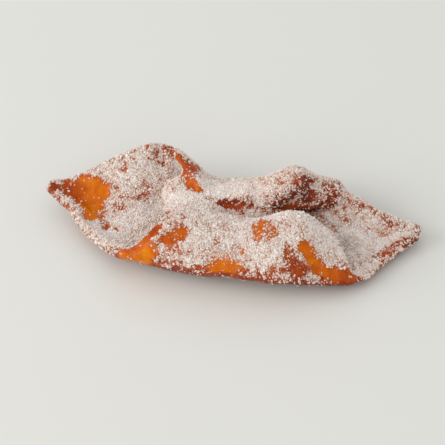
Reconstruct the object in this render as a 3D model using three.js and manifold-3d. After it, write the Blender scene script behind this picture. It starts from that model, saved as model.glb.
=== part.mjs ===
// Fried pastry roll: a square of thin dough whose front and back corners are folded over its middle, one over
// the other, then fried and rolled in sugar. Millimetres, +Z up. X runs from the left tip to the right tip,
// -Y is the front, and the roll rests on a small flat spot at Z = 0.
//
// The dough is one sheet. Across the roll it is measured by an angle, the wrap: 0 at the keel, 90 where the
// sheet stands furthest out to the front or the back, 180 at the top of its fold, and more where the flap
// runs on towards the middle. Near the two tips it stops at 90, and the roll is an open scoop there.

import * as THREE from 'three';
import { mergeVertices } from 'three/addons/utils/BufferGeometryUtils.js';
import Module from 'manifold-3d';

const wasm = await Module();
wasm.setup();

// ---- driving sizes ----
const DOUGH_THICKNESS = 4;     // puffed by frying
const EDGE_THICKNESS = 2.6;    // the cut edges puff less
const EDGE_WIDTH = 4;          // how far in from a cut edge the dough thins
const EDGE_ROUNDING = 0.3;     // how far the edge is rounded out, as a share of the thickness there
const EDGE_WAVER = 4;          // degrees of wrap that a folded flap's edge wavers by
const EDGE_WAVER_LENGTH = 9;
const SWELL_SIZE = 8;          // the dough swells in places that far apart
const SWELL_HEIGHT = 0.45;
const BLISTER_SIZE = 4.5;
const BLISTER_HEIGHT = 0.25;
const ROPE_THICKNESS = 7;      // the back flap's edge, rolled over like a rope
const ROPE_WIDTH = 7;
const ROPE_WRAP = [150, 190];  // the flap's edge turns into the rope where the back wraps this far round
const FRONT_SHOULDER = 12;     // from the front of the fold to the top of it
const BACK_SHOULDER = 8;
const FLAP_RUN = 20;           // what a flap runs towards the middle in its last 90 degrees
const LENGTHWISE = 61;         // steps of the sheet's grid
const ACROSS = 37;
const LUMP_SIDES = 16;
const LUMP_RINGS = 10;
const BASE_CUT = 0.5;          // the roll settles this deep, which leaves the flat spot it rests on
const FLOOR_SIZE = 200;        // of the block that cuts it there
const FLOOR_DEPTH = 20;

// The roll at stations along X. keel is the middle of the trough. Each side gives out and mid, how far the
// sheet stands out and how high, which is the cut edge in the scoops; top, the height of the fold; wrap, how
// far round the sheet goes; sink, how much lower the flap ends; open, 1 for a straight wall and 0 for a round one.
const STATIONS = [
  {
    x: -58, keel: [-9.2, 9.5],
    front: { out: -10.9, mid: 9.4, top: 13, wrap: 90, sink: 2, open: 0.9 },
    back: { out: -7.5, mid: 9.5, top: 13, wrap: 90, sink: 2, open: 0.9 },
  },
  {
    x: -52, keel: [-10, 7.7],
    front: { out: -14.1, mid: 7.8, top: 13, wrap: 90, sink: 2, open: 0.8 },
    back: { out: -5.6, mid: 9.6, top: 15, wrap: 90, sink: 2, open: 0.8 },
  },
  {
    x: -40, keel: [-15, 3.6],
    front: { out: -24.2, mid: 6.6, top: 13, wrap: 90, sink: 2, open: 0.7 },
    back: { out: -1, mid: 15, top: 18, wrap: 90, sink: 2, open: 0.8 },
  },
  {
    x: -29, keel: [-19, 2.8],
    front: { out: -31.4, mid: 7, top: 14, wrap: 96, sink: 2, open: 0.6 },
    back: { out: 4, mid: 19.2, top: 21, wrap: 90, sink: 2, open: 0.8 },
  },
  {
    x: -21, keel: [-18, 2.4],
    front: { out: -33.8, mid: 7.6, top: 15.5, wrap: 122, sink: 3, open: 0.4 },
    back: { out: 6, mid: 16.8, top: 21.2, wrap: 112, sink: 2, open: 0.5 },
  },
  {
    x: -14, keel: [-16, 2.2],
    front: { out: -34.4, mid: 8.2, top: 17, wrap: 164, sink: 6, open: 0.3 },
    back: { out: 4.2, mid: 11, top: 17.8, wrap: 160, sink: 2, open: 0.2 },
  },
  {
    x: -7, keel: [-15, 2.2],
    front: { out: -34.6, mid: 8.4, top: 16.8, wrap: 198, sink: 14, open: 0.3 },
    back: { out: 1.8, mid: 7.5, top: 12, wrap: 192, sink: 3, open: 0.1 },
  },
  {
    x: 3, keel: [-15, 2.2],
    front: { out: -34.8, mid: 8.6, top: 16, wrap: 206, sink: 26, open: 0.3 },
    back: { out: 2.4, mid: 7, top: 11.3, wrap: 195, sink: 4, open: 0.1 },
  },
  {
    x: 13, keel: [-15, 2.2],
    front: { out: -34.7, mid: 8.6, top: 15.8, wrap: 206, sink: 26, open: 0.3 },
    back: { out: 4, mid: 7.5, top: 13.4, wrap: 198, sink: 5, open: 0.1 },
  },
  {
    x: 23, keel: [-15, 2.2],
    front: { out: -34.2, mid: 8.6, top: 17, wrap: 212, sink: 10, open: 0.3 },
    back: { out: 7.6, mid: 8.5, top: 17.8, wrap: 208, sink: 12, open: 0.1 },
  },
  {
    x: 30, keel: [-15, 2.2],
    front: { out: -33.6, mid: 8.2, top: 17.4, wrap: 213, sink: 3, open: 0.3 },
    back: { out: 5.6, mid: 9, top: 15.4, wrap: 152, sink: 1, open: 0.3 },
  },
  {
    x: 36, keel: [-16, 2.2],
    front: { out: -31.6, mid: 7, top: 13.8, wrap: 198, sink: 2, open: 0.3 },
    back: { out: 3.3, mid: 11, top: 14, wrap: 110, sink: 1, open: 0.5 },
  },
  {
    x: 43, keel: [-15, 2.2],
    front: { out: -29.4, mid: 5.7, top: 10.2, wrap: 164, sink: 1, open: 0.3 },
    back: { out: 1.7, mid: 10.4, top: 12.4, wrap: 90, sink: 1, open: 0.7 },
  },
  {
    x: 50, keel: [-12, 2.4],
    front: { out: -25.8, mid: 4.2, top: 8, wrap: 99, sink: 1, open: 0.6 },
    back: { out: -1, mid: 8.3, top: 10, wrap: 90, sink: 1, open: 0.7 },
  },
  {
    x: 57, keel: [-7.6, 3.8],
    front: { out: -14.2, mid: 4.2, top: 6, wrap: 90, sink: 1, open: 0.8 },
    back: { out: -2.2, mid: 6.7, top: 9, wrap: 90, sink: 1, open: 0.8 },
  },
  {
    x: 63.5, keel: [-4.2, 4.7],
    front: { out: -6.4, mid: 4.5, top: 6, wrap: 90, sink: 1, open: 0.9 },
    back: { out: -2.5, mid: 4.9, top: 8, wrap: 90, sink: 1, open: 0.9 },
  },
];

// Creases and dents of the sheet, each along a line of [x, wrap], with its half width and depth.
const CREASES = [
  { name: 'left end of the front roll', from: [-24, -72], to: [-16, -105], width: 5, depth: 1.1 },
  { name: 'slanting crease on the right', from: [27, -165], to: [36, -112], width: 3.5, depth: 1.3 },
  { name: 'hollow on the front flap', from: [12, -160], to: [17, -125], width: 4.5, depth: 1 },
  { name: 'furrow across the rope', from: [26.5, 120], to: [26.5, 200], width: 2, depth: 1.6 },
];

// Lumps fused to the sheet: [x, y, z] of the centre, then the half length, half width and half height.
const LUMPS = [
  { name: 'seal under the flaps', centre: [9, -9.5, 6.4], half: [17, 8, 5.4] },
  { name: 'pinch at the waist', centre: [-6.5, -12, 9.2], half: [11, 7.5, 6] },
  { name: 'corner of the left scoop', centre: [-13.8, -4.2, 8.6], half: [6.2, 5.8, 5.8] },
  { name: 'lower side of the rope', centre: [24.5, -1.5, 11.6], half: [9, 5, 5] },
  { name: 'knob beside the rope', centre: [32.6, 2.2, 10.6], half: [6.2, 5.4, 4.6] },
];

// ---- helpers ----
const QUARTER = 90;
const ROUND = Math.PI / 2;   // the pull that bends a curve into a quarter circle
const FLAT = 2.2;            // a stronger one, which keeps it flat for longer and bends it later
const STRAIGHT = 0.7;        // a weaker one, for a straight wall
const RELAXING = 3;          // passes that ease the bends
const BEND_ROOM = 0.8;       // share of a bend's radius that the dough may fill
const MM_PER_DEGREE = 0.28;  // how much of the sheet lies in a degree of wrap
const { clamp, lerp, smoothstep } = THREE.MathUtils;

// A smooth curve through one size of every station.
function line(pick) {
  const points = STATIONS.map((s) => [s.x, pick(s)]);
  const slope = (i) => {
    const a = points[Math.max(i - 1, 0)];
    const b = points[Math.min(i + 1, points.length - 1)];
    return (b[1] - a[1]) / (b[0] - a[0]);
  };
  return (x) => {
    let i = 0;
    while (i < points.length - 2 && x > points[i + 1][0]) i += 1;
    const [x0, y0] = points[i];
    const [x1, y1] = points[i + 1];
    const width = x1 - x0;
    const t = clamp((x - x0) / width, 0, 1);
    const t2 = t * t;
    const t3 = t2 * t;
    return (2 * t3 - 3 * t2 + 1) * y0 + (t3 - 2 * t2 + t) * slope(i) * width
      + (3 * t2 - 2 * t3) * y1 + (t3 - t2) * slope(i + 1) * width;
  };
}

const keelY = line((s) => s.keel[0]);
const keelZ = line((s) => s.keel[1]);
const sideLines = (side) => Object.fromEntries(
  ['out', 'mid', 'top', 'wrap', 'sink', 'open'].map((name) => [name, line((s) => s[side][name])]),
);
const FRONT = sideLines('front');
const BACK = sideLines('back');

// A point of the curve that leaves a along leaving and arrives at b along arriving.
function between(a, leaving, b, arriving, share) {
  const s2 = share * share;
  const s3 = s2 * share;
  return new THREE.Vector2()
    .addScaledVector(a, 2 * s3 - 3 * s2 + 1).addScaledVector(leaving, s3 - 2 * s2 + share)
    .addScaledVector(b, 3 * s2 - 2 * s3).addScaledVector(arriving, s3 - s2);
}

// The middle of the dough at x, wrapped by angle degrees: negative to the front, positive to the back.
function middle(x, angle) {
  const front = angle < 0;
  const side = front ? FRONT : BACK;
  const toMiddle = front ? 1 : -1;
  const shoulder = front ? FRONT_SHOULDER : BACK_SHOULDER;
  const open = side.open(x);
  const keel = new THREE.Vector2(keelY(x), keelZ(x));
  const out = new THREE.Vector2(side.out(x), side.mid(x));
  const crest = new THREE.Vector2(out.x + toMiddle * shoulder, side.top(x));
  const wall = out.clone().sub(keel);
  const rising = new THREE.Vector2(0, 1).lerp(wall.clone().normalize(), open);
  const share = Math.abs(angle) / QUARTER;
  let point;
  if (share <= 1) {
    const leaving = new THREE.Vector2(wall.x * lerp(FLAT, STRAIGHT, open), 0);
    const arriving = rising.setLength(lerp(wall.y * ROUND, wall.length(), open));
    point = between(keel, leaving, out, arriving, share);
  } else if (share <= 2) {
    const leaving = rising.setLength(ROUND * (crest.y - out.y));
    const arriving = new THREE.Vector2(toMiddle * shoulder * FLAT, 0);
    point = between(out, leaving, crest, arriving, share - 1);
  } else {
    const on = share - 2;
    point = new THREE.Vector2(crest.x + toMiddle * FLAP_RUN * on, crest.y - side.sink(x) * on * on);
  }
  return new THREE.Vector3(x, point.x, point.y);
}

// How far the sheet is pushed in at x and angle by the creases.
function pushedIn(x, angle) {
  const here = new THREE.Vector2(x, angle * MM_PER_DEGREE);
  return CREASES.reduce((sum, crease) => {
    const a = new THREE.Vector2(crease.from[0], crease.from[1] * MM_PER_DEGREE);
    const b = new THREE.Vector2(crease.to[0], crease.to[1] * MM_PER_DEGREE);
    const along = b.clone().sub(a);
    const share = clamp(here.clone().sub(a).dot(along) / along.lengthSq(), 0, 1);
    const distance = here.distanceTo(a.addScaledVector(along, share));
    return sum + crease.depth * Math.exp(-((distance / crease.width) ** 2));
  }, 0);
}

// Smooth seeded unevenness from -1 to 1 over a plane, with one swelling or so in each unit square.
function unevenness(seed) {
  const corner = (i, j) => {
    const wild = Math.sin(i * 127.1 + j * 311.7 + seed * 74.7) * 43758.5453;
    return 2 * (wild - Math.floor(wild)) - 1;
  };
  return (u, v) => {
    const i = Math.floor(u);
    const j = Math.floor(v);
    const s = smoothstep(u - i, 0, 1);
    const t = smoothstep(v - j, 0, 1);
    return lerp(lerp(corner(i, j), corner(i + 1, j), s), lerp(corner(i, j + 1), corner(i + 1, j + 1), s), t);
  };
}

const swelling = unevenness(3);
const blister = unevenness(8);
const waver = unevenness(21);
const FACES_APART = 100;     // millimetres between the two faces of the sheet in that plane
const FRONT_EDGE = 1;        // where the two flaps' edges lie in the waver's plane
const BACK_EDGE = 5;

// The dough's own uneven surface at x and angle, on its inner or outer face.
function puffing(x, angle, face) {
  const across = angle * MM_PER_DEGREE + face * FACES_APART;
  return SWELL_HEIGHT * swelling(x / SWELL_SIZE, across / SWELL_SIZE)
    + BLISTER_HEIGHT * blister(x / BLISTER_SIZE, across / BLISTER_SIZE);
}

// The middle of a grid's neighbours across the sheet, which eases its tight bends.
function relaxed(node) {
  return (i, j) => {
    if (j === 0 || j === ACROSS) return node(i, j).clone();
    return node(i, j - 1).clone().add(node(i, j + 1)).addScaledVector(node(i, j), 2).divideScalar(4);
  };
}

// The sheet as a closed shell: a grid of the dough's middle, set off to both sides by half its thickness.
function doughSheet() {
  const first = STATIONS[0].x;
  const last = STATIONS[STATIONS.length - 1].x;
  const step = (last - first) / LENGTHWISE;
  const xAt = (i) => first + step * i;
  // the cut edge of a folded flap wavers a little
  const wavering = (x, side, row) => (
    EDGE_WAVER * waver(x / EDGE_WAVER_LENGTH, row) * smoothstep(side.wrap(x), QUARTER, 1.5 * QUARTER)
  );
  const angleAt = (i, j) => {
    const x = xAt(i);
    const from = -FRONT.wrap(x) - wavering(x, FRONT, FRONT_EDGE);
    const to = BACK.wrap(x) + wavering(x, BACK, BACK_EDGE);
    return lerp(from, to, j / ACROSS);
  };
  const rows = Array.from({ length: LENGTHWISE + 1 }, (_, i) => i);
  const columns = Array.from({ length: ACROSS + 1 }, (_, j) => j);
  const gridOf = (pointAt) => {
    const points = rows.map((i) => columns.map((j) => pointAt(i, j)));
    const node = (i, j) => points[clamp(i, 0, LENGTHWISE)][clamp(j, 0, ACROSS)];
    const alongX = (i, j) => node(i + 1, j).clone().sub(node(i - 1, j));
    const around = (i, j) => node(i, j + 1).clone().sub(node(i, j - 1));
    const inward = (i, j) => alongX(i, j).cross(around(i, j)).normalize();
    return { node, alongX, around, inward };
  };
  let plain = gridOf((i, j) => middle(xAt(i), angleAt(i, j)));
  for (let pass = 0; pass < RELAXING; pass += 1) plain = gridOf(relaxed(plain.node));
  const { node, alongX, around, inward } = gridOf((i, j) => (
    plain.node(i, j).clone().addScaledVector(plain.inward(i, j), pushedIn(xAt(i), angleAt(i, j)))
  ));

  // the radius of the bend across the sheet where it closes in on that face
  const bend = (i, j, face) => {
    const before = node(i, j).clone().sub(node(i, j - 1));
    const after = node(i, j + 1).clone().sub(node(i, j));
    const turning = before.clone().cross(after).length();
    const closing = face * after.clone().normalize().sub(before.clone().normalize()).dot(inward(i, j)) > 0;
    const span = before.length() * after.length() * before.add(after).length();
    return closing && turning > 0 ? span / (2 * turning) : Infinity;
  };
  const reach = (i, from, to) => {
    let sum = 0;
    for (let k = from; k < to; k += 1) sum += node(i, k).distanceTo(node(i, k + 1));
    return sum;
  };
  const thickness = (i, j) => {
    const toBack = reach(i, j, ACROSS);
    const toOther = Math.min(reach(i, 0, j), Math.min(i, LENGTHWISE - i) * step);
    const rolled = toBack < toOther ? smoothstep(BACK.wrap(xAt(i)), ...ROPE_WRAP) : 0;
    const atEdge = lerp(EDGE_THICKNESS, ROPE_THICKNESS, rolled);
    const width = lerp(EDGE_WIDTH, ROPE_WIDTH, rolled);
    return lerp(atEdge, DOUGH_THICKNESS, smoothstep(Math.min(toBack, toOther), 0, width));
  };

  const positions = [];
  const faces = [];
  const add = (p) => positions.push(p.x, p.y, p.z) / 3 - 1;
  const layer = (face) => rows.map((i) => columns.map((j) => {
    const full = thickness(i, j) / 2 + puffing(xAt(i), angleAt(i, j), face);
    const nearby = [j - 2, j - 1, j, j + 1, j + 2].filter((k) => k > 0 && k < ACROSS);
    const tightest = Math.min(...nearby.map((k) => bend(i, k, face)));
    const offset = Math.min(full, BEND_ROOM * tightest);
    return add(node(i, j).clone().addScaledVector(inward(i, j), face * offset));
  }));
  const inner = layer(1);
  const outer = layer(-1);
  const quad = (a, b, c, d) => faces.push(a, b, c, a, c, d);
  for (let i = 0; i < LENGTHWISE; i += 1) {
    for (let j = 0; j < ACROSS; j += 1) {
      quad(inner[i][j], inner[i + 1][j], inner[i + 1][j + 1], inner[i][j + 1]);
      quad(outer[i][j], outer[i][j + 1], outer[i + 1][j + 1], outer[i + 1][j]);
    }
  }
  // the cut edge, once round the sheet, is rounded
  const edge = [
    ...rows.slice(0, -1).map((i) => [i, 0]),
    ...columns.slice(0, -1).map((j) => [LENGTHWISE, j]),
    ...rows.slice(1).reverse().map((i) => [i, ACROSS]),
    ...columns.slice(1).reverse().map((j) => [0, j]),
  ];
  const outward = (i, j) => {
    const away = new THREE.Vector3();
    if (j === 0) away.sub(around(i, j).normalize());
    if (j === ACROSS) away.add(around(i, j).normalize());
    if (i === 0) away.sub(alongX(i, j).normalize());
    if (i === LENGTHWISE) away.add(alongX(i, j).normalize());
    return away.normalize();
  };
  const rounded = edge.map(([i, j]) => add(
    node(i, j).clone().addScaledVector(outward(i, j), EDGE_ROUNDING * thickness(i, j)),
  ));
  edge.forEach(([i, j], k) => {
    const next = (k + 1) % edge.length;
    const [ni, nj] = edge[next];
    quad(inner[i][j], rounded[k], rounded[next], inner[ni][nj]);
    quad(rounded[k], outer[i][j], outer[ni][nj], rounded[next]);
  });
  const geometry = new THREE.BufferGeometry();
  geometry.setAttribute('position', new THREE.Float32BufferAttribute(positions, 3));
  geometry.setIndex(faces);
  return geometry;
}

// A lump of dough: a ball pulled to its three half sizes.
function lump({ centre, half }) {
  return new THREE.SphereGeometry(1, LUMP_SIDES, LUMP_RINGS).scale(...half).translate(...centre);
}

// ---- solids: joined and cut ----
function solid(geometry) {
  geometry.deleteAttribute('normal');
  geometry.deleteAttribute('uv');
  const merged = mergeVertices(geometry);
  return new wasm.Manifold(new wasm.Mesh({
    numProp: 3,
    vertProperties: new Float32Array(merged.attributes.position.array),
    triVerts: new Uint32Array(merged.index.array),
  }));
}

function geometryOf(manifold) {
  const mesh = manifold.getMesh();
  const geometry = new THREE.BufferGeometry();
  geometry.setAttribute('position', new THREE.BufferAttribute(mesh.vertProperties, 3));
  geometry.setIndex(new THREE.BufferAttribute(mesh.triVerts, 1));
  geometry.computeVertexNormals();
  return geometry;
}

function pastry() {
  const joined = LUMPS.reduce((sum, one) => sum.add(solid(lump(one))), solid(doughSheet()));
  const below = new THREE.BoxGeometry(FLOOR_SIZE, FLOOR_SIZE, FLOOR_DEPTH)
    .translate(0, 0, BASE_CUT - FLOOR_DEPTH / 2);
  const geometry = geometryOf(joined.subtract(solid(below)));
  geometry.computeBoundingBox();
  const box = geometry.boundingBox;
  const centre = box.getCenter(new THREE.Vector3());
  return geometry.translate(-centre.x, -centre.y, -box.min.z);
}

const roll = new THREE.Group();
const dough = new THREE.Mesh(
  pastry(),
  new THREE.MeshStandardMaterial({ color: 0xb5622a, roughness: 0.6, metalness: 0 }),
);
dough.name = 'pastry';
roll.add(dough);

export default roll;
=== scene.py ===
"""A fried pastry roll in coarse sugar: the dough's surface, its crust, and the crystals of sugar on it."""

import math

import bpy
import numpy as np
from mathutils import Matrix, Vector, noise
from mathutils.bvhtree import BVHTree


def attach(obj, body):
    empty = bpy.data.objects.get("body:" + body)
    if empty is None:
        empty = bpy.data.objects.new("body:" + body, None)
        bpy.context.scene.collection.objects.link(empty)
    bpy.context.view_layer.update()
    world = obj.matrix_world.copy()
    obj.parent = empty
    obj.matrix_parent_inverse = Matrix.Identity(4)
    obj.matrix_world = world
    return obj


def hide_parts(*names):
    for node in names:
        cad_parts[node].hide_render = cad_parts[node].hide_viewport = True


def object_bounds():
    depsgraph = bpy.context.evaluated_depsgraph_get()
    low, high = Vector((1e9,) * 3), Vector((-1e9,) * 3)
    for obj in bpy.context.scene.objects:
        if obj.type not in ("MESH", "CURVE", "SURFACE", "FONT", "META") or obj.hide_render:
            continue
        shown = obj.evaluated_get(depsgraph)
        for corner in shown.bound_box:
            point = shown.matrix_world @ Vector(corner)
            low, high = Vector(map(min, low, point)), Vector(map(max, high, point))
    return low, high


MM = 0.001
NEVER_ZERO = 1e-6          # keeps a division from having nothing to divide by

# ---- the dough's surface ----
WELD = 0.001 * MM          # corners nearer to each other than this become one
VOXEL = 0.45 * MM          # how finely the dough's surface is remade
SOFTENING = 7              # passes that take the voxels' steps away
BLENDING = 60              # passes that blend a lump of dough into the sheet around it
BLEND_REACH = 4.5 * MM     # how far round a lump's rim they reach
BLEND_FULL = 0.3           # and the share of that reach where they work in full
LEAST_WEIGHT = 0.01        # a vertex that weighs less stays out of the group
LUMPS = [                  # the fused lumps: middle and half size in millimetres
    ("seal", (6.2, 4, 5.9), (17, 8, 5.4)),
    ("pinch", (-9.3, 1.5, 8.7), (11, 7.5, 6)),
    ("corner of the left scoop", (-16.6, 9.3, 8.1), (6.2, 5.8, 5.8)),
    ("lower side of the rope", (21.7, 12, 11.1), (9, 5, 5)),
    ("knob", (29.8, 15.7, 10.1), (6.2, 5.4, 4.6)),
]
WRINKLES = [               # name, pattern, size and height in millimetres, and the pattern's settings
    ("swellings", "CLOUDS", 6, 0.7, {"noise_depth": 1}),
    ("blisters", "VORONOI", 3.2, 0.4, {}),
    ("pimples", "CLOUDS", 1.3, 0.22, {"noise_depth": 2}),
]
WRINKLE_MIDDLE = 0.6       # the part of a pattern's range that leaves the dough where it is
PRESS_EASING = 4           # passes that even out the directions in which folds are pressed

# ---- folds too fine for the solid: a line, half width and depth in millimetres (below 0: a ridge) ----
FOLDS = [
    ("recess under the rope", [(-0.5, 3, 12.6), (3.7, 3, 12.9), (7.6, 2.9, 12.7)], 1.5, 1.2),
    ("end of the rope", [(6.5, 14, 13.4), (8, 10.4, 14.6), (9.6, 6, 15.8), (10.8, 3.2, 13.8)], 1.5, 0.8),
    ("furrow across the rope", [(24.6, 14.4, 17.5), (24.6, 11.4, 16.2), (24.5, 8.4, 14.2)], 1.2, 0.9),
    ("start of the front fold", [(-24, -20.6, 10.2), (-20.7, -20.2, 12.9), (-17.4, -18, 15.9),
                                 (-15.2, -14.6, 17.1)], 1.3, 0.8),
    ("crumple on the left peak", [(-26.2, 17.2, 18), (-25, 16, 16.2), (-24.2, 15, 14.8)], 1.5, 1.5),
    ("crumple beside it", [(-22.7, 19, 18.2), (-20.9, 17, 17.8)], 1.4, 1.2),
    ("ridge between the crumples", [(-24.6, 18.6, 18.6), (-22.8, 16.4, 16.6),
                                    (-22, 14.2, 13.4)], 1.3, -0.9),
    ("strip beside the waist", [(-18.8, 14.1, 16.4), (-16.9, 11.9, 16.3), (-14.9, 9.8, 16.1),
                                (-11.7, 6.9, 14.4)], 1.8, 0.8),
    ("filling under the rope", [(13, 5.6, 10.4), (18, 7.6, 10)], 3, -1.4),
    ("valley of the left scoop", [(-38, -7, 4.8), (-30, -1, 4.8), (-24.5, 4, 5.6)], 2.2, 0.5),
    ("foot of the front fold", [(31, 1, 11.4), (36, -4, 8.4)], 2.2, 0.8),
    ("rise under the heap of sugar", [(41, 1.8, 4.4), (43.6, 0.8, 4.2)], 2.8, -2.2),
    ("wrinkle in the right scoop", [(36.7, 12.2, 9.1), (43, 7, 5.8)], 1.3, 0.5),
    ("second wrinkle there", [(44, 12, 9), (50.5, 7.2, 5.6)], 1.2, 0.45),
]

# ---- where the crust is bare of sugar: a line, half width (millimetres), how bare and how brown ----
BARE_PATCHES = [
    ("left scoop, upper", [(-48, 5.4, 9.2), (-43, 4.6, 8.8)], 4.2, 1.0, 0.22),
    ("left scoop, lower", [(-46, 2, 7.2), (-44, -1.6, 6.2)], 4.2, 1.0, 0.16),
    ("left scoop, left end", [(-54, 4.4, 9.4), (-48.6, 2, 7.6)], 3.2, 1.0, 0.5),
    ("left tip", [(-58.6, 3.4, 9.7), (-54.3, 4.2, 9.5)], 2, 0.9, 0.68),
    ("spot high in the left scoop", [(-36.1, 10.1, 14.9)], 1.6, 0.6, 0.4),
    ("first spot in the left scoop", [(-38.4, -6.1, 4.9)], 2, 0.9, 0.4),
    ("second spot there", [(-34.2, -6.4, 4.8)], 1.8, 0.9, 0.4),
    ("start of the front fold", [(-25, -21.6, 7.6), (-20.6, -21.6, 8.8), (-19, -21, 12.6)], 3.8, 1.0, 0.1),
    ("under the start of the front fold", [(-24.4, -20.9, 9.6), (-20.8, -20.1, 13.6), (-18.6, -17.6, 15.6),
                                           (-16.6, -14, 16.6)], 2, 1.0, 0.5),
    ("left of the front fold", [(-11, -18.4, 15.8), (-8.4, -15.8, 17)], 3, 0.8, 0.34),
    ("beside it", [(-8.3, -20.6, 14.7)], 2.2, 0.5, 0.42),
    ("low on the front fold", [(4, -22.6, 11), (9.5, -22.2, 11.9)], 2.8, 0.72, 0.22),
    ("above it", [(5, -20, 13.6), (11, -19.4, 14.4)], 3.6, 0.32, 0.14),
    ("top of the front fold, left", [(14.6, -8.2, 17), (15.6, -13, 17)], 2.2, 0.75, 0.26),
    ("top of the front fold, right", [(17.8, -8.4, 17.6), (19.2, -12, 17.5)], 2.6, 0.55, 0.34),
    ("streak, left side", [(26.5, -17, 15.8), (28.5, -20, 13), (31, -19, 11)], 2.4, 0.7, 0.58),
    ("streak, upper", [(29.7, -13.6, 16.4), (31.8, -15, 14.7)], 1.8, 0.95, 0.3),
    ("streak, middle", [(31.8, -15, 14.7), (34.1, -16.1, 12.3)], 2.3, 0.84, 0.16),
    ("streak, lower", [(34.6, -17, 10.4), (40.2, -16.6, 8.2)], 2.4, 0.85, 0.3),
    ("streak, end", [(40.2, -16.6, 8), (45.2, -14.2, 6)], 2.2, 0.85, 0.42),
    ("spot beside the streak", [(25.4, -15.2, 16.5)], 1.6, 0.5, 0.5),
    ("spot on the front fold", [(3.6, -16.9, 15.8)], 1.7, 0.5, 0.4),
    ("crumple on the left peak", [(-25.6, 16.5, 17.2), (-24.2, 15.1, 15)], 1.7, 0.85, 0.5),
    ("crumple beside it", [(-22.4, 18.6, 18), (-20.9, 17, 17.6)], 1.6, 0.66, 0.52),
    ("strip beside the waist, upper", [(-18.7, 14.6, 17.6), (-15.9, 10.9, 16.3)], 2.5, 0.92, 0.44),
    ("strip beside the waist, lower", [(-15.6, 10.6, 16.2), (-11, 6.2, 14.2)], 2.3, 1.0, 0.3),
    # the strip's darker red side is bare crust, browned there as painted shade
    ("side of the strip, bare and browned as painted shade", [(-15.4, 15, 16.8), (-12.4, 12.6, 15.6)], 2.8, 0.6, 0.56),
    ("left of the strip", [(-22.8, 11.9, 10.2)], 1.8, 0.4, 0.4),
    ("lip under the rope", [(-0.8, 3, 12.4), (7.4, 2.8, 12.6)], 1.8, 0.9, 0.62),
    ("mark under the rope", [(5.5, 2.2, 10.2), (8, -3, 14)], 1.3, 0.8, 0.62),
    ("under the rope", [(12, 5, 10.5), (17, 7, 11), (24, 8, 12)], 2.2, 0.5, 0.5),
    ("front of the rope", [(17.2, 4.5, 15.6), (20.2, 6.2, 15.4), (22.6, 8, 16.4)], 2, 0.42, 0.78),
    ("furrow across the rope", [(24.6, 13.8, 17.2), (24.6, 11.4, 16.2), (24.5, 8.2, 13.8)], 1.9, 0.7, 0.78),
    # the knob is barer and browner: partly its own brown mottling, partly painted shade cast by the rope
    ("knob", [(27.4, 12.4, 14.6), (31.8, 12.4, 13)], 4.4, 0.26, 0.72),
    ("spot under the knob", [(32.1, 11.6, 12.4)], 1.6, 0.75, 0.72),
    ("spot in the right scoop", [(36.7, 12.2, 9.1)], 1.8, 0.45, 0.55),
    ("second spot there", [(50.5, 6.8, 5.4)], 2.2, 0.4, 0.45),
]

# ---- where sugar lies thicker or thinner: a line, half width (millimetres) and how much more of it ----
SUGARED = [
    ("valley of the left scoop", [(-38, -10, 5), (-30, 0, 5), (-22, 5, 8), (-14, 2.6, 13.6)], 4.5, 0.3),
    ("rim of the left scoop", [(-58, 1, 9.6), (-50, -5.6, 8), (-42, -11.4, 7), (-32, -18, 7)], 4.5, 0.12),
    ("back wall of the left scoop", [(-36, 6, 11), (-27, 12, 14)], 6, 0.1),
    ("waist", [(-8, 9, 14), (-2, 9, 13.4), (4, 9, 13.4)], 5.5, 0.25),
    ("pinch", [(-13, -1, 13.4), (-7, -2, 14.5)], 4.5, 0.25),
    ("top edge of the front fold", [(18, -4, 17.2), (27, -2.6, 18), (33, -5.6, 15.4),
                                    (39, -9, 11.8)], 4.5, 0.2),
    ("heap in the right scoop", [(39, 2.5, 5), (44, 0, 5.2)], 4, 0.4),
    ("right scoop, near its rim", [(44, -7, 3.9), (49, -8, 4.4), (54, -4, 4.6)], 4.5, -0.1),
    ("front of the front fold", [(-6, -16, 16), (10, -15, 16), (24, -15, 16.4)], 6, 0.06),
    # the top of the rope and its right end get less sugar: partly thinner sugar, partly painted shade
    ("top of the rope, thinner sugar and painted shade", [(8, 10, 15.6), (15, 12, 18.4), (21, 12, 18.6)], 4, -0.24),
    ("rope's right end by the knob, thinner sugar and painted shade", [(23, 9, 17.4), (30, 13, 14.2)], 4.6, -0.13),
    ("shaded side of the front fold", [(31, 1, 12), (36, -4, 9)], 4, -0.2),
    ("lower right rim", [(47, -10, 3.8), (52.4, -5.4, 3.8), (58, 0, 4)], 3.4, 0.24),
    ("right wall", [(42, 11, 9), (52, 8, 6.4)], 5, 0.03),
    ("right tip", [(55, -1, 4.4), (61, 4, 4.4)], 4, -0.08),
]

# ---- edges of the bare and the sugared places ----
PATCH_WAVES = [            # size of the waves and how far they move an edge (millimetres), and shifts
    (2.4, 1.2, (0, 17, 31)),
    (0.9, 0.9, (43, 59, 71)),
]
PATCH_EDGE = (0.5, 1.35)   # from full to none, in half widths
SUGARED_EDGE = (0.3, 1.2)
BAREST = 0.97              # how much of the sugar a fully bare patch loses
RIM_BROWN = 0.3            # how much browner a bare patch is at its rim

# ---- how much sugar lies on the dough and how brown it is, both 0 to 1, with painted shade in sheltered places ----
COVER = {"level": 0.63, "up": 0.08, "valley": 0.16, "mottle": 0.14, "front": -0.26, "below": -0.4}
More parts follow.
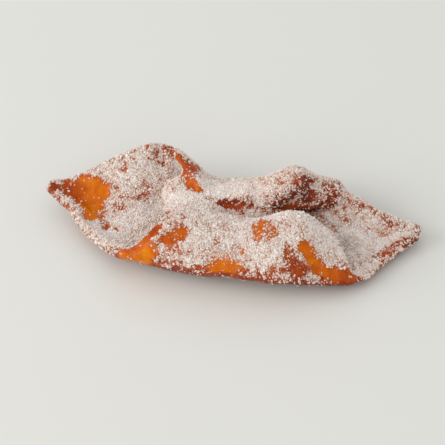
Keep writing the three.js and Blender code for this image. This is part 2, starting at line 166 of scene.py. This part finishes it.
# the sheltered share browns the crust there as painted shade
BROWN = {"level": 0.5, "below": 0.12, "front": 0.1, "tips": 0.15, "ridge": 0.12, "mottle": 0.1,
         "sheltered_shade": 0.2}
LEAST_COVER = 0.06
PAINTED_SHADE_SUGAR_LOSS = 0.5       # how much of the sugar a sheltered place loses, as painted shade
MOTTLE = (5, 9)            # size in millimetres and shift of the mottles
SPECKLES = [(0.32, 1.9, 3), (0.26, 1.1, 13)]   # how much, size in millimetres and shift
TINT = (0.13, 2.8, 5)      # the same for the crust's brown
LEVELLING = 60             # passes that level the dough, to tell its valleys
VALLEY_DEPTH = 0.35 * MM   # so far under its level the dough is all valley
FRONT_HEIGHTS = (9 * MM, 14 * MM)   # the front counts in full up to the first and not above the second
FACING_DOWN = (-0.6, 0.0)  # the normal's Z where dough faces down in full, and where it no longer does
SHELTERED = (0.05, 0.4)    # the share of the sky that a fully sheltered place sees, and an open one
TIP_LENGTH = 5 * MM
SKY_RISES = (15, 45, 75)   # how open a place is: directions looked in, degrees above the floor
SKY_TURNS = 5              # and how many round at each

# ---- where sugar is heaped: middle, half size (millimetres) and height of the heap ----
SUGAR_HEAPS = [
    ("right scoop", (42.4, 1, 6), (4.6, 3.2, 3.4), 1.2),
    ("valley of the left scoop", (-27.7, 0.5, 5.2), (7, 3, 2), 0.5),
    ("pinch", (-14.2, 3, 11), (5, 4, 4), 0.4),
]
HEAP_EDGE = (0.1, 1.1)     # from full height to none, in half sizes
HEAP_LAYER = 0.3 * MM      # each such height of a heap holds as much sugar again

# ---- sugar: kind, shape, how many, size and spread of sizes, and side of the cell that holds only one ----
SUGAR_KINDS = [
    ("sugar_coarse", "block", 3000, 0.56, 0.09, 0.8),
    ("sugar_medium", "block", 16000, 0.42, 0.07, 0.4),
    ("sugar_small", "block", 16000, 0.32, 0.06, 0.3),
    ("sugar_fine", "chip", 33000, 0.27, 0.05, 0.2),
    ("sugar_finest", "chip", 33000, 0.2, 0.04, 0.16),
]
SEED = 7
TRIES = 6                  # places tried for each crystal
CROWDING = 2.4             # how strongly crystals keep to where the cover is dense
LEAST_CROWD = 0.006        # what a place without sugar still counts for
FLOOR_GAP = 0.45 * MM      # no crystal's middle is lower
TOP_GAP = 0.1 * MM         # or this much above the solid's top
SIZE_LIMITS = (0.5, 1.6)   # shares of the usual size
STRETCH = 0.25             # spread of a crystal's proportions
STRETCH_LIMIT = 1.5        # and its most, in spreads
SITS_HIGH = 0.22           # how far a crystal's middle is above the dough, in sizes
TONE = {"least": 0.05, "cover": 0.55, "chance": 0.5}

# ---- crystals of unit size ----
BLOCK_TOP = (0.72, 0.8, 1)           # how the smaller face of a block is scaled
BLOCK_LEAN = (0.08, -0.05, 0.06)     # and moved
CHIP_SIDES = 4
CHIP_RADIUS = 0.62
CHIP_HEIGHT = 0.75
CHIP_WIDTH = (1, 0.8, 1)             # how a chip is scaled

# ---- colours as a screen shows them, 0 to 255, and the finishes ----
CRUST_SHADES = [           # how brown, and the colour there
    (0.0, (228, 136, 10)),
    (0.2, (217, 110, 0)),
    (0.4, (196, 86, 2)),
    (0.6, (170, 66, 16)),
    (0.8, (128, 46, 20)),
    (1.0, (86, 32, 18)),
]
SUGAR_SHADES = [           # tone, and the colour there
    (0.0, (216, 166, 138)),
    (0.35, (233, 205, 187)),
    (0.7, (243, 229, 219)),
    (1.0, (250, 244, 238)),
]
FROST_SHADES = ((216, 162, 124), (242, 224, 208))
FLOOR_SHADE = (237, 236, 228)
CLOUD_MIDDLE = 0.5         # the middle of the noise that a cloud gives
TINT_SIZE = 1.4            # millimetres, as all sizes of clouds are
TINT_SHARE = 0.3
FROST_GRAIN = 0.45         # size of the frost's grain
FROST_PATCH = 1.5          # and of its patches
GRAIN_SHARE = 1.7          # how much the grain and the patches break the frost up
PATCH_SHARE = 0.7
FROST_STEP = (0.3, 0.72)   # cover at which the frost starts and is whole
FROST_COVERS = 0.78        # how much of the crust's colour a whole frost hides
RELIEF_SIZE = 2.2          # of the dough's own relief
RELIEF_DEPTH = 0.25        # millimetres
RELIEF_STRENGTH = 0.6
FROST_HEIGHT = 0.7         # of the grain in the relief, frosted and bare
CRUST_HEIGHT = 0.06
CRUST_ROUGHNESS = 0.32
FROST_ROUGHNESS = 0.45     # added where frosted
CRUST_SHINE = 0.12         # the Specular IOR Level of the crust
SUGAR_ROUGHNESS = 0.4
SUGAR_SHINE = 0.4          # and of the sugar
FLOOR_ROUGHNESS = 0.6

# ---- camera, floor and lights ----
CAMERA_PLACE = (156.5, -383.3, 423.1)   # millimetres
CAMERA_AIM = (-0.2, -1.0, 8.0)
CAMERA_TILT = -8.64                     # degrees; its right side is the lower one
CAMERA_LENS = 150
CAMERA_NEAREST = 0.01                   # metres
FLOOR_SIZE = 2.4                        # metres
LAMPS = [                               # name, place and side in metres, power in watts, shade
    ("window", (-1.0, -0.42, 0.5), 0.8, 7, (1.0, 0.985, 0.96)),
    ("fill", (0.1, -1.0, 0.7), 1.2, 1.2, (1.0, 0.99, 0.98)),
]
ROOM_SHADE = (0.96, 0.975, 1.0, 1)
ROOM_LIGHT = 0.69


# ---- modelling ----
def only(piece):
    """Selects that piece alone and makes it active."""
    bpy.ops.object.select_all(action="DESELECT")
    piece.hide_set(False)
    piece.select_set(True)
    bpy.context.view_layer.objects.active = piece


def finished_with(piece, kind, **settings):
    """Adds a modifier to the piece and applies it."""
    modifier = piece.modifiers.new(kind.title(), kind)
    for name, value in settings.items():
        setattr(modifier, name, value)
    only(piece)
    bpy.ops.object.modifier_apply(modifier=modifier.name)


def weighted(piece, name, weights):
    """A vertex group with a weight for each vertex."""
    group = piece.vertex_groups.new(name=name)
    for index in np.nonzero(weights > LEAST_WEIGHT)[0]:
        group.add([int(index)], float(weights[index]), "REPLACE")
    return group.name


def points_of(piece):
    """The piece's vertices as rows of metres."""
    flat = np.zeros(3 * len(piece.data.vertices))
    piece.data.vertices.foreach_get("co", flat)
    return flat.reshape(-1, 3)


def normals_of(piece):
    """The vertices' normals as rows."""
    flat = np.zeros(3 * len(piece.data.vertices))
    piece.data.vertex_normals.foreach_get("vector", flat)
    return flat.reshape(-1, 3)


def put_points(piece, points):
    """Moves the piece's vertices there."""
    piece.data.vertices.foreach_set("co", points.ravel())
    piece.data.update()


def line_distance(points, line):
    """How far each point is from the line through those places, in millimetres."""
    places = np.array(line if len(line) > 1 else line * 2, float)
    nearest = np.full(len(points), np.inf)
    for a, b in zip(places[:-1], places[1:]):
        along = b - a
        share = np.clip((points / MM - a) @ along / max(along @ along, NEVER_ZERO), 0, 1)
        nearest = np.minimum(nearest, np.linalg.norm(points / MM - a - share[:, None] * along, axis=1))
    return nearest


def in_ellipsoid(points, middle, half):
    """How far out each point is from the middle: 0 there and 1 on the ellipsoid."""
    return np.linalg.norm((points / MM - np.array(middle)) / np.array(half), axis=1)


def fading(distance, full, none):
    """1 up to full, 0 from none on, and smooth between."""
    share = np.clip((none - distance) / (none - full), 0, 1)
    return share * share * (3 - 2 * share)


def unevenness(points, size, shift):
    """Smooth noise from about -1 to 1 at each point, with features of that size in millimetres."""
    offset = Vector((shift, 0, 0))
    return np.array([noise.noise(Vector(p) / (size * MM) + offset) for p in points])


def eased(piece, values, passes):
    """Values at the vertices, averaged with their neighbours that many times."""
    ends = np.zeros(2 * len(piece.data.edges), int)
    piece.data.edges.foreach_get("vertices", ends)
    a, b = ends.reshape(-1, 2).T
    count = np.bincount(ends, minlength=len(values)).reshape(-1, 1)
    for _ in range(passes):
        total = np.zeros_like(values)
        for k in range(values.shape[1]):
            total[:, k] += np.bincount(a, values[b, k], len(values))
            total[:, k] += np.bincount(b, values[a, k], len(values))
        values = 0.5 * values + 0.5 * total / count
    return values


def openness(piece, points, normals):
    """How much of the sky each point sees past the piece itself, 0 to 1."""
    tree = BVHTree.FromObject(piece, bpy.context.evaluated_depsgraph_get())
    rays = []
    for rise in SKY_RISES:
        for k in range(SKY_TURNS):
            ray = Vector((math.cos(math.radians(rise)), 0, math.sin(math.radians(rise))))
            rays.append(Matrix.Rotation(2 * math.pi * (k + 0.5) / SKY_TURNS, 3, "Z") @ ray)
    seen = np.zeros(len(points))
    for index, start in enumerate(points + VOXEL * normals):
        seen[index] = sum(tree.ray_cast(Vector(start), ray)[0] is None for ray in rays)
    return seen / len(rays)


def attribute(piece, name, values):
    """Stores a number for each vertex, which a material can read."""
    piece.data.attributes.new(name, "FLOAT", "POINT").data.foreach_set("value", values.astype(np.float32))


# ---- dough ----
def dough_surface():
    """The roll of dough: the solid's form, remade in small quads and eased where dough joins dough."""
    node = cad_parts["pastry"]
    dough = bpy.data.objects.new("dough", node.data.copy())
    bpy.context.scene.collection.objects.link(dough)
    only(dough)
    bpy.ops.object.mode_set(mode="EDIT")
    bpy.ops.mesh.select_all(action="SELECT")
    bpy.ops.mesh.remove_doubles(threshold=WELD)
    bpy.ops.object.mode_set(mode="OBJECT")
    finished_with(dough, "REMESH", mode="VOXEL", voxel_size=VOXEL, use_smooth_shade=True)
    finished_with(dough, "SMOOTH", factor=0.5, iterations=SOFTENING)
    points = points_of(dough)
    near = np.zeros(len(points))
    for _, middle, half in LUMPS:
        rim = np.abs(in_ellipsoid(points, middle, half) - 1) * min(half) * MM
        near = np.maximum(near, fading(rim, BLEND_FULL * BLEND_REACH, BLEND_REACH))
    group = weighted(dough, "rims of the lumps", near)
    finished_with(dough, "SMOOTH", factor=0.5, iterations=BLENDING, vertex_group=group)
    return dough


def wrinkle(dough, name, kind, size, height, settings):
    """Raises the dough by a cloud or cell pattern of that size, both in millimetres."""
    texture = bpy.data.textures.new(name, kind)
    texture.noise_scale = size * MM
    for key, value in settings.items():
        setattr(texture, key, value)
    finished_with(
        dough, "DISPLACE", texture=texture, texture_coords="LOCAL", strength=height * MM,
        mid_level=WRINKLE_MIDDLE
    )


def folded(dough):
    """Presses the fine folds into the dough and flattens it where it would pass the floor."""
    points = points_of(dough)
    normals = eased(dough, normals_of(dough), PRESS_EASING)
    pressed = np.zeros(len(points))
    for _, line, width, depth in FOLDS:
        pressed += depth * MM * np.exp(-(line_distance(points, line) / width) ** 2)
    points -= normals * pressed[:, None]
    points[:, 2] = np.maximum(points[:, 2], 0)
    put_points(dough, points)


def bareness(points):
    """How bare of sugar each point is, how brown the bare patch there is, and how much it is one."""
    waves = sum(
        reach * np.column_stack([unevenness(points, size, shift) for shift in shifts])
        for size, reach, shifts in PATCH_WAVES
    )
    wandered = points + waves * MM
    bare = np.zeros(len(points))
    brown = np.zeros(len(points))
    share = np.full(len(points), NEVER_ZERO)
    for _, line, half, how_bare, how_brown in BARE_PATCHES:
        inside = fading(line_distance(wandered, line) / half, *PATCH_EDGE)
        bare = np.maximum(bare, how_bare * inside)
        brown += inside * (how_brown + RIM_BROWN * (1 - inside))
        share += inside
    return bare, brown / share, np.clip(share, 0, 1)


def crust(dough):
    """Stores how much sugar covers the dough and how brown it is, with painted shade in sheltered places,
    and gives the cover.
    """
    points = points_of(dough)
    normals = normals_of(dough)
    bare, patch_brown, in_patch = bareness(points)
    level = eased(dough, points, LEVELLING)
    valley = np.clip(((level - points) * normals).sum(1) / VALLEY_DEPTH, -1, 1)
    ridge = np.clip(-valley, 0, 1)
    up = normals[:, 2]
    front = np.clip(-normals[:, 1], 0, 1) * fading(points[:, 2], *FRONT_HEIGHTS)
    below = fading(up, *FACING_DOWN)
    tips = fading(cad_box[1][0] - np.abs(points[:, 0]), 0, TIP_LENGTH)
    # sheltered places lose sugar and turn browner: painted shade
    sheltered_shade = fading(openness(dough, points, normals), *SHELTERED)
    mottle = unevenness(points, *MOTTLE)
    cover = COVER["level"] + COVER["up"] * up + COVER["valley"] * valley + COVER["mottle"] * mottle
    cover += sum(much * unevenness(points, size, shift) for much, size, shift in SPECKLES)
    for _, line, half, more in SUGARED:
        cover += more * fading(line_distance(points, line) / half, *SUGARED_EDGE)
    cover += COVER["front"] * front + COVER["below"] * below
    cover = np.clip(cover, LEAST_COVER, 1) * (1 - BAREST * bare) * (1 - PAINTED_SHADE_SUGAR_LOSS * sheltered_shade)
    brown = BROWN["level"] + BROWN["below"] * below + BROWN["front"] * front + BROWN["tips"] * tips
    brown += BROWN["ridge"] * ridge
    brown += BROWN["mottle"] * mottle
    brown += BROWN["sheltered_shade"] * sheltered_shade
    much, size, shift = TINT
    brown = brown * (1 - in_patch) + patch_brown * in_patch + much * unevenness(points, size, shift)
    attribute(dough, "cover", cover)
    attribute(dough, "brown", np.clip(brown, 0, 1))
    return cover


# ---- sugar ----
def crystal(shape):
    """One crystal of unit size: a block with one smaller face, or a chip with a point."""
    if shape == "block":
        bpy.ops.mesh.primitive_cube_add(size=1)
        piece = bpy.context.active_object
        bpy.ops.object.mode_set(mode="EDIT")
        bpy.ops.mesh.select_all(action="DESELECT")
        bpy.ops.object.mode_set(mode="OBJECT")
        for face in piece.data.polygons:
            face.select = face.normal.z > 0.9
        bpy.ops.object.mode_set(mode="EDIT")
        bpy.ops.transform.resize(value=BLOCK_TOP)
        bpy.ops.transform.translate(value=BLOCK_LEAN)
    else:
        bpy.ops.mesh.primitive_cone_add(vertices=CHIP_SIDES, radius1=CHIP_RADIUS, depth=CHIP_HEIGHT)
        piece = bpy.context.active_object
        bpy.ops.object.mode_set(mode="EDIT")
        bpy.ops.mesh.select_all(action="SELECT")
        bpy.ops.transform.resize(value=CHIP_WIDTH)
    bpy.ops.mesh.select_all(action="SELECT")
    bpy.ops.mesh.quads_convert_to_tris()
    bpy.ops.object.mode_set(mode="OBJECT")
    return piece


def turned(count, random):
    """That many random turns, as matrices."""
    w, x, y, z = random.normal(size=(4, count))
    length = np.sqrt(w * w + x * x + y * y + z * z)
    w, x, y, z = w / length, x / length, y / length, z / length
    return np.array([
        [1 - 2 * (y * y + z * z), 2 * (x * y - z * w), 2 * (x * z + y * w)],
        [2 * (x * y + z * w), 1 - 2 * (x * x + z * z), 2 * (y * z - x * w)],
        [2 * (x * z - y * w), 2 * (y * z + x * w), 1 - 2 * (x * x + y * y)],
    ]).transpose(2, 0, 1)


def heap_height(points):
    """How high sugar is heaped over each point, in metres."""
    height = np.zeros(len(points))
    for _, middle, half, top in SUGAR_HEAPS:
        height = np.maximum(height, top * MM * fading(in_ellipsoid(points, middle, half), *HEAP_EDGE))
    return height


def scattered(dough, cover, count, apart, random):
    """Points on the dough with their normals and cover: more where the cover is dense, one in a cell."""
    dough.data.calc_loop_triangles()
    corners = np.zeros(3 * len(dough.data.loop_triangles), int)
    dough.data.loop_triangles.foreach_get("vertices", corners)
    corners = corners.reshape(-1, 3)
    points = points_of(dough)
    normals = normals_of(dough)
    a, b, c = points[corners].transpose(1, 0, 2)
    area = np.linalg.norm(np.cross(b - a, c - a), axis=1)
    heaped = heap_height(points)
    weight = np.maximum(cover ** CROWDING, LEAST_CROWD) * (1 + heaped / HEAP_LAYER)
    share = area * weight[corners].mean(1)
    picked = random.choice(len(corners), size=TRIES * count, p=share / share.sum())
    u, v = random.random((2, len(picked)))
    fold = u + v > 1
    u[fold], v[fold] = 1 - u[fold], 1 - v[fold]
    shares = np.stack([1 - u - v, u, v], axis=1)[:, :, None]
    place = (points[corners[picked]] * shares).sum(1)
    normal = (normals[corners[picked]] * shares).sum(1)
    normal /= np.linalg.norm(normal, axis=1, keepdims=True)
    height = (heaped[corners[picked]] * shares[:, :, 0]).sum(1)
    density = (cover[corners[picked]] * shares[:, :, 0]).sum(1)
    place = place + normal * (height * random.random(len(place)))[:, None]
    low, high = cad_box
    free = (place[:, 2] > low[2] + FLOOR_GAP) & (place[:, 2] < high[2] + TOP_GAP)
    place, normal, density = place[free], normal[free], density[free]
    cells = np.floor(place / (apart * MM)).astype(int)
    first = np.unique(cells, axis=0, return_index=True)[1]
    kept = np.sort(first)[:count]
    return place[kept], normal[kept], density[kept]


def sugar(dough, cover, name, shape, count, size, spread, apart, random):
    """All the crystals of one kind as one mesh, each with its own tone."""
    one = crystal(shape)
    corners = points_of(one)
    faces = np.array([list(face.vertices) for face in one.data.polygons])
    place, normal, density = scattered(dough, cover, count, apart, random)
    least, most = SIZE_LIMITS
    sizes = np.clip(random.normal(size, spread, len(place)), least * size, most * size) * MM
    stretch = 1 + STRETCH * random.normal(size=(len(place), 1, 3)).clip(-STRETCH_LIMIT, STRETCH_LIMIT)
    turned_corners = (corners[None] * stretch) @ turned(len(place), random)
    middle = place + normal * (SITS_HIGH * sizes)[:, None]
    points = turned_corners * sizes[:, None, None] + middle[:, None]
    indices = faces[None] + (len(corners) * np.arange(len(place)))[:, None, None]
    mesh = bpy.data.meshes.new(name)
    mesh.from_pydata(points.reshape(-1, 3).tolist(), [], indices.reshape(-1, 3).tolist())
    mesh.update()
    bpy.data.objects.remove(one)
    piece = bpy.data.objects.new(name, mesh)
    bpy.context.scene.collection.objects.link(piece)
    chance = random.random(len(place))
    tone = np.clip(TONE["least"] + TONE["cover"] * density + TONE["chance"] * chance, 0, 1)
    attribute(piece, "tone", np.repeat(tone, len(corners)))
    return piece


# ---- materials ----
def colour(red, green, blue):
    """A colour given as a screen shows it, 0 to 255, in the shader's own terms."""
    shares = [value / 255 for value in (red, green, blue)]
    return tuple(s / 12.92 if s < 0.04045 else ((s + 0.055) / 1.055) ** 2.4 for s in shares) + (1,)


class Wire:
    """A value in a material. + - and * on it add Math nodes."""

    def __init__(self, finish, socket):
        self.finish = finish
        self.socket = socket

    def maths(self, operation, first, second):
        return self.finish.node("ShaderNodeMath", {"operation": operation}, {0: first, 1: second})

    def __add__(self, other):
        return self.maths("ADD", self, other)

    def __radd__(self, other):
        return self.maths("ADD", other, self)

    def __sub__(self, other):
        return self.maths("SUBTRACT", self, other)

    def __mul__(self, other):
        return self.maths("MULTIPLY", self, other)


class Finish:
    """A procedural material, made node by node."""

    def __init__(self, name):
        self.material = bpy.data.materials.new(name)
        self.material.use_nodes = True
        self.tree = self.material.node_tree
        self.tree.nodes.clear()

    def node(self, kind, settings, sockets, output=0):
        """Adds a node, sets it up, fills its sockets with values or wires, and gives one output."""
        node = self.tree.nodes.new(kind)
        for name, value in settings.items():
            if name == "stops":
                self.set_stops(node.color_ramp, value)
            else:
                setattr(node, name, value)
        for name, value in sockets.items():
            if isinstance(value, Wire):
                self.tree.links.new(value.socket, node.inputs[name])
            else:
                node.inputs[name].default_value = value
        return Wire(self, node.outputs[output]) if node.outputs else None

    def set_stops(self, ramp, stops):
        """Gives a ramp its places and their colours."""
        while len(ramp.elements) < len(stops):
            ramp.elements.new(1)
        for element, (place, shade) in zip(ramp.elements, stops):
            element.position = place
            element.color = colour(*shade)

    def stored(self, name):
        """The number that the mesh holds under that name."""
        return self.node("ShaderNodeAttribute", {"attribute_name": name}, {}, "Fac")

    def place(self):
        """Where a point is on the piece, in metres."""
        return self.node("ShaderNodeTexCoord", {}, {}, "Object")

    def cloud(self, size, detail=3.0, roughness=0.55):
        """Smooth noise about 0.5, with features of that size in millimetres."""
        sockets = {"Vector": self.place(), "Scale": 1 / (size * MM)}
        sockets.update({"Detail": detail, "Roughness": roughness})
        return self.node("ShaderNodeTexNoise", {}, sockets, "Fac")

    def ramp(self, value, stops):
        """The colour that those stops give a value."""
        return self.node("ShaderNodeValToRGB", {"stops": stops}, {"Fac": value})

    def between(self, share, first, second):
        """A mix of two colours."""
        sockets = {0: share, 6: first, 7: second}
        return self.node("ShaderNodeMix", {"data_type": "RGBA"}, sockets, 2)

    def clear_step(self, value, low, high):
        """0 below low, 1 above high."""
        sockets = {"Value": value, "From Min": low, "From Max": high}
        return self.node("ShaderNodeMapRange", {"interpolation_type": "SMOOTHSTEP"}, sockets)

    def relief(self, height, depth, strength):
        """A normal raised by height, up to depth in millimetres."""
        sockets = {"Height": height, "Distance": depth * MM, "Strength": strength}
        return self.node("ShaderNodeBump", {}, sockets, "Normal")

    def shader(self, sockets):
        """The surface itself, which ends the material."""
        surface = self.node("ShaderNodeBsdfPrincipled", {}, sockets)
        self.node("ShaderNodeOutputMaterial", {}, {"Surface": surface})
        return self.material


def crust_finish():
    """Fried crust: golden to dark brown, glossy where bare, frosted with the finest sugar where covered."""
    finish = Finish("fried crust")
    cover = finish.stored("cover")
    tint = finish.cloud(TINT_SIZE, detail=4)
    # the stored brown and cover carry painted shade in sheltered places too
    brown = finish.stored("brown") + (tint - CLOUD_MIDDLE) * TINT_SHARE
    crust_colour = finish.ramp(brown, CRUST_SHADES)
    grain = finish.cloud(FROST_GRAIN, roughness=0.7)
    patchy = finish.cloud(FROST_PATCH)
    broken = cover + (grain - CLOUD_MIDDLE) * GRAIN_SHARE + (patchy - CLOUD_MIDDLE) * PATCH_SHARE
    frost = finish.clear_step(broken, *FROST_STEP)
    frost_colour = finish.between(patchy, *[colour(*shade) for shade in FROST_SHADES])
    height = finish.cloud(RELIEF_SIZE, detail=5) + grain * (frost * FROST_HEIGHT + CRUST_HEIGHT)
    return finish.shader({
        "Base Color": finish.between(frost * FROST_COVERS, crust_colour, frost_colour),
        "Roughness": CRUST_ROUGHNESS + frost * FROST_ROUGHNESS,
        "Specular IOR Level": CRUST_SHINE,
        "Normal": finish.relief(height, RELIEF_DEPTH, RELIEF_STRENGTH),
    })


def sugar_finish():
    """Sugar: white crystals, and ones tinted by the crust that shows through them."""
    finish = Finish("sugar crystals")
    base = finish.ramp(finish.stored("tone"), SUGAR_SHADES)
    return finish.shader(
        {"Base Color": base, "Roughness": SUGAR_ROUGHNESS, "Specular IOR Level": SUGAR_SHINE}
    )


# ---- surroundings ----
def floor():
    """The pale floor the roll lies on."""
    bpy.ops.mesh.primitive_plane_add(size=FLOOR_SIZE)
    piece = bpy.context.active_object
    piece.name = "floor"
    finish = Finish("pale floor")
    sockets = {"Base Color": colour(*FLOOR_SHADE), "Roughness": FLOOR_ROUGHNESS}
    piece.data.materials.append(finish.shader(sockets))


def lamp(name, place, size, power, shade):
    """A soft square light that shines on the roll."""
    light = bpy.data.lights.new(name, "AREA")
    light.size = size
    light.energy = power
    light.color = shade
    lit = bpy.data.objects.new(name, light)
    bpy.context.scene.collection.objects.link(lit)
    lit.location = place
    lit.rotation_euler = (-Vector(place)).to_track_quat("-Z", "Y").to_euler()


def viewer():
    """The camera, aimed at the roll from the front right and above."""
    place = Vector(CAMERA_PLACE) * MM
    aim = Vector(CAMERA_AIM) * MM
    camera = bpy.data.cameras.new("camera")
    camera.lens = CAMERA_LENS
    camera.clip_start = CAMERA_NEAREST
    piece = bpy.data.objects.new("camera", camera)
    bpy.context.scene.collection.objects.link(piece)
    level = (aim - place).to_track_quat("-Z", "Y").to_matrix().to_4x4()
    tilt = Matrix.Rotation(math.radians(CAMERA_TILT), 4, "Z")
    piece.matrix_world = Matrix.Translation(place) @ level @ tilt
    bpy.context.scene.camera = piece


def surroundings():
    """Floor, even light with a low soft lamp at the left, and the camera."""
    floor()
    for settings in LAMPS:
        lamp(*settings)
    world = bpy.data.worlds.new("room")
    world.use_nodes = True
    background = world.node_tree.nodes["Background"]
    background.inputs["Color"].default_value = ROOM_SHADE
    background.inputs["Strength"].default_value = ROOM_LIGHT
    bpy.context.scene.world = world
    viewer()


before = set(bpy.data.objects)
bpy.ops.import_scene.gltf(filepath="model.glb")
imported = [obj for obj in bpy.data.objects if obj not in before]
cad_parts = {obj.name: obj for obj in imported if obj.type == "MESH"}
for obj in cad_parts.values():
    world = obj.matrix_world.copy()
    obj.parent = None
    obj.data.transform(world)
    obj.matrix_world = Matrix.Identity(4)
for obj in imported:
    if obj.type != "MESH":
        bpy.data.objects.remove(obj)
cad_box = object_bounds()
bpy.ops.object.select_all(action="DESELECT")

dough = dough_surface()
for pattern in WRINKLES:
    wrinkle(dough, *pattern)
folded(dough)
cover = crust(dough)
dough.data.materials.clear()
dough.data.materials.append(crust_finish())
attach(dough, "root")
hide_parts("pastry")

random = np.random.default_rng(SEED)
crystals = sugar_finish()
for kind in SUGAR_KINDS:
    grains = sugar(dough, cover, *kind, random)
    grains.data.materials.append(crystals)
    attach(grains, "root")

surroundings()
bpy.context.scene.view_settings.view_transform = "Standard"
